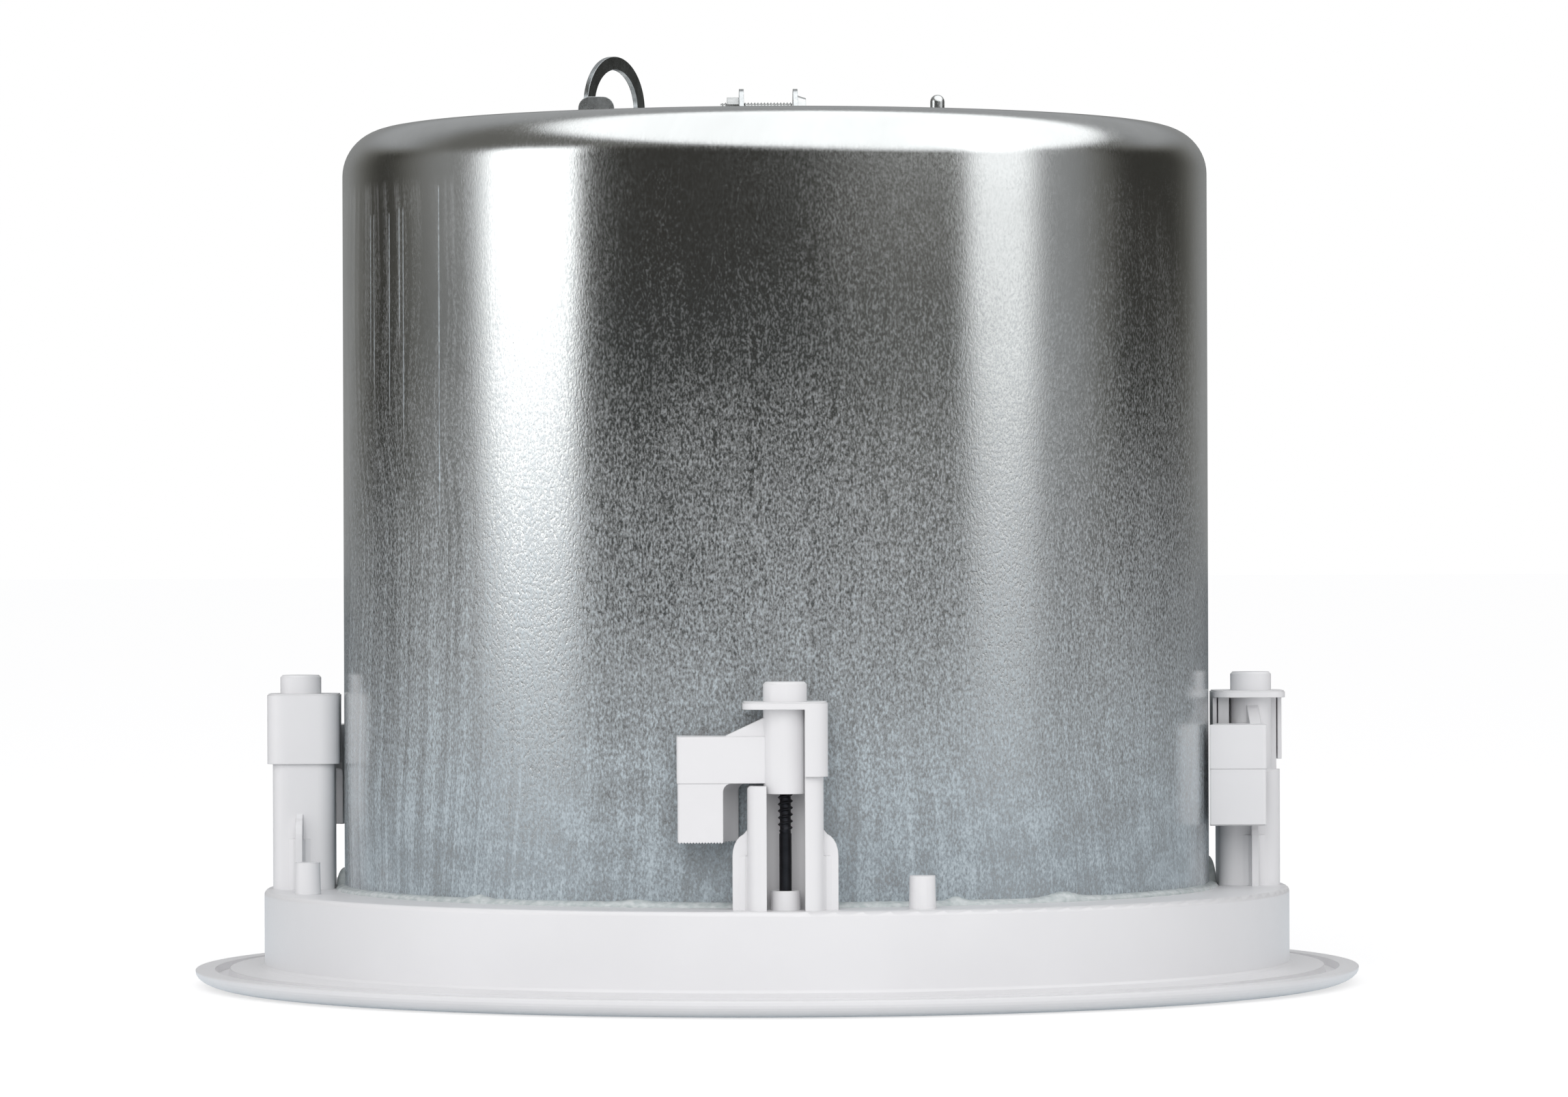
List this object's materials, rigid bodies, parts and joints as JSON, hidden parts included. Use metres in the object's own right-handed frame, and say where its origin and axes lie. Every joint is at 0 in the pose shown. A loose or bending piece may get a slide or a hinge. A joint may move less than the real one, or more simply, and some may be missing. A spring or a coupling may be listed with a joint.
{
  "type": "ceiling loudspeaker",
  "caption": "Round in-ceiling loudspeaker with a steel back can, swing-out clamp dogs, a coaxial driver behind a perforated grille and a safety ring on top.",
  "frame": {"origin": "centre of the bezel's front plane, on which the speaker stands face down", "axes": "+Z out of the bezel along the back can; the four clamps lie on +X, +Y, -X and -Y"},
  "size_m": [0.25, 0.25, 0.2009],
  "materials": {
    "white_plastic": "smooth moulded off-white, satin",
    "white_paint": "powder-coated perforated sheet",
    "zinc_steel": "zinc-plated drawn sheet with upright streaks",
    "bright_steel": "bright plated",
    "dark_steel": "black painted or blackened steel",
    "black_steel": "blackened screw steel",
    "sealant": "translucent soft adhesive bead",
    "black_rubber": "soft rubber",
    "cone_paper": "coated fibre",
    "spider_cloth": "impregnated cloth",
    "ferrite": "ground ferrite",
    "copper": "enamelled wire",
    "black_plastic": "moulded black",
    "green_board": "varnished circuit board",
    "blue_sleeve": "shrunk sleeve",
    "red_lead": "insulated lead",
    "wadding": "polyester wadding",
    "aluminium": "anodised dome"
  },
  "bodies": {
    "enclosure": {"front_frame": "white_plastic", "grille": "white_paint", "back_can": "zinc_steel", "sealant_bead": "sealant", "can_screws": "black_steel", "clamp_cap_1": "white_plastic", "clamp_cap_2": "white_plastic", "clamp_cap_3": "white_plastic", "clamp_cap_4": "white_plastic", "driver_gasket": "black_rubber", "driver_basket": "dark_steel", "driver_screws": "black_steel", "surround": "black_rubber", "spider": "spider_cloth", "front_plate": "zinc_steel", "magnet": "ferrite", "back_plate": "zinc_steel", "tweeter_bridge": "black_plastic", "tweeter_dome": "aluminium", "tweeter_magnet": "ferrite", "tap_switch": "black_plastic", "damping_wadding": "wadding", "transformer_core": "dark_steel", "transformer_winding": "copper", "crossover_board": "green_board", "crossover_coil": "copper", "crossover_capacitors": "blue_sleeve", "inner_screws": "bright_steel", "terminal_block": "green_board", "driver_leads": "red_lead", "wiring_cover": "zinc_steel", "cover_stud": "bright_steel", "cover_nut": "bright_steel", "cable_clamp": "zinc_steel", "cable_clamp_screw": "bright_steel"},
    "dog_1": {"clamp_dog_1": "white_plastic"},
    "dog_2": {"clamp_dog_2": "white_plastic"},
    "dog_3": {"clamp_dog_3": "white_plastic"},
    "dog_4": {"clamp_dog_4": "white_plastic"},
    "screw_1": {"clamp_screw_1": "black_steel"},
    "screw_2": {"clamp_screw_2": "black_steel"},
    "screw_3": {"clamp_screw_3": "black_steel"},
    "screw_4": {"clamp_screw_4": "black_steel"},
    "cone_unit": {"cone": "cone_paper", "dust_cap": "cone_paper", "voice_coil": "copper"},
    "selector": {"tap_knob": "black_plastic"},
    "eye_ring": {"safety_ring": "dark_steel"}
  },
  "joints": [
    {"name": "dog_swing_1", "type": "hinge", "parent": "enclosure", "child": "dog_1", "pos_m": [0, -0.1024, 0.05], "axis": [0, 0, 1], "range_deg": [0, 90]},
    {"name": "dog_swing_2", "type": "hinge", "parent": "enclosure", "child": "dog_2", "pos_m": [0.1024, 0, 0.05], "axis": [0, 0, 1], "range_deg": [0, 90]},
    {"name": "dog_swing_3", "type": "hinge", "parent": "enclosure", "child": "dog_3", "pos_m": [0, 0.1024, 0.05], "axis": [0, 0, 1], "range_deg": [0, 90]},
    {"name": "dog_swing_4", "type": "hinge", "parent": "enclosure", "child": "dog_4", "pos_m": [-0.1024, 0, 0.05], "axis": [0, 0, 1], "range_deg": [0, 90]},
    {"name": "screw_turn_1", "type": "hinge", "parent": "enclosure", "child": "screw_1", "pos_m": [0, -0.1024, 0.03], "axis": [0, 0, 1], "continuous": true},
    {"name": "screw_turn_2", "type": "hinge", "parent": "enclosure", "child": "screw_2", "pos_m": [0.1024, 0, 0.03], "axis": [0, 0, 1], "continuous": true},
    {"name": "screw_turn_3", "type": "hinge", "parent": "enclosure", "child": "screw_3", "pos_m": [0, 0.1024, 0.03], "axis": [0, 0, 1], "continuous": true},
    {"name": "screw_turn_4", "type": "hinge", "parent": "enclosure", "child": "screw_4", "pos_m": [-0.1024, 0, 0.03], "axis": [0, 0, 1], "continuous": true},
    {"name": "cone_travel", "type": "slide", "parent": "enclosure", "child": "cone_unit", "axis": [0, 0, 1], "range_m": [-0.003, 0.003], "stiffness_N_per_m": 1500, "deforming": ["surround", "spider"]},
    {"name": "tap_turn", "type": "hinge", "parent": "enclosure", "child": "selector", "pos_m": [-0.06223, -0.06223, 0.015], "axis": [0, 0, 1], "range_deg": [0, 150]},
    {"name": "ring_swing", "type": "hinge", "parent": "enclosure", "child": "eye_ring", "pos_m": [-0.0346, 0.02, 0.17958], "axis": [0.5446, 0.8387, 0], "range_deg": [-74, 85]}
  ]
}
